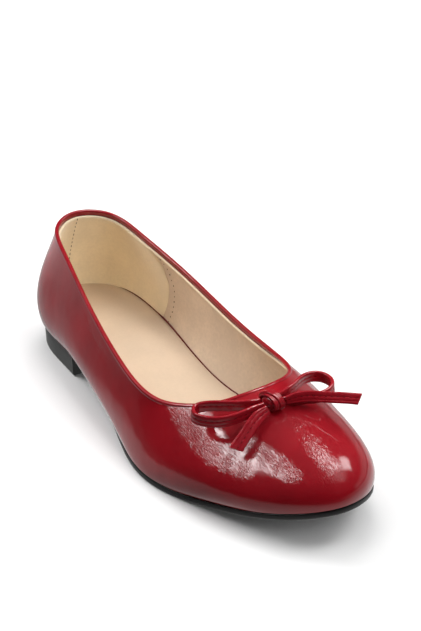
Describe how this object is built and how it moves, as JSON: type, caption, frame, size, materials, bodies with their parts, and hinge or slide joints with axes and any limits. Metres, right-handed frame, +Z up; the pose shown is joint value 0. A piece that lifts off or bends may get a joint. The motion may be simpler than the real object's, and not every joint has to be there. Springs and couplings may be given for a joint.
{
  "type": "ballet flat",
  "caption": "Women's low-cut slip-on ballet flat for the right foot, round toe, patent upper with a bound topline and a tied strip bow on the vamp, thin outsole and low block heel.",
  "frame": {"origin": "middle of the heel's tread, on the floor that the shoe stands on", "axes": "+X from the heel towards the toe, +Y towards the inner side of the right foot, +Z up"},
  "size_m": [0.2447, 0.086, 0.0654],
  "materials": {
    "patent_leather": "dark red patent, glossy",
    "binding_leather": "dark red patent strip, glossy",
    "bow_leather": "dark red patent strip with stitched edges",
    "lining_leather": "beige smooth lining, satin",
    "sock_leather": "peach beige sock, satin",
    "sole_rubber": "near black, satin",
    "heel_rubber": "near black, satin",
    "stitch_thread": "dark red twisted thread"
  },
  "bodies": {
    "root": {"upper": "patent_leather", "topline_binding": "binding_leather", "insole": "sock_leather", "outsole": "sole_rubber", "heel": "heel_rubber", "bow_knot": "bow_leather", "bow_loop_outer": "bow_leather", "bow_loop_inner": "bow_leather", "bow_tail_outer": "bow_leather", "bow_tail_inner": "bow_leather"}
  },
  "joints": []
}
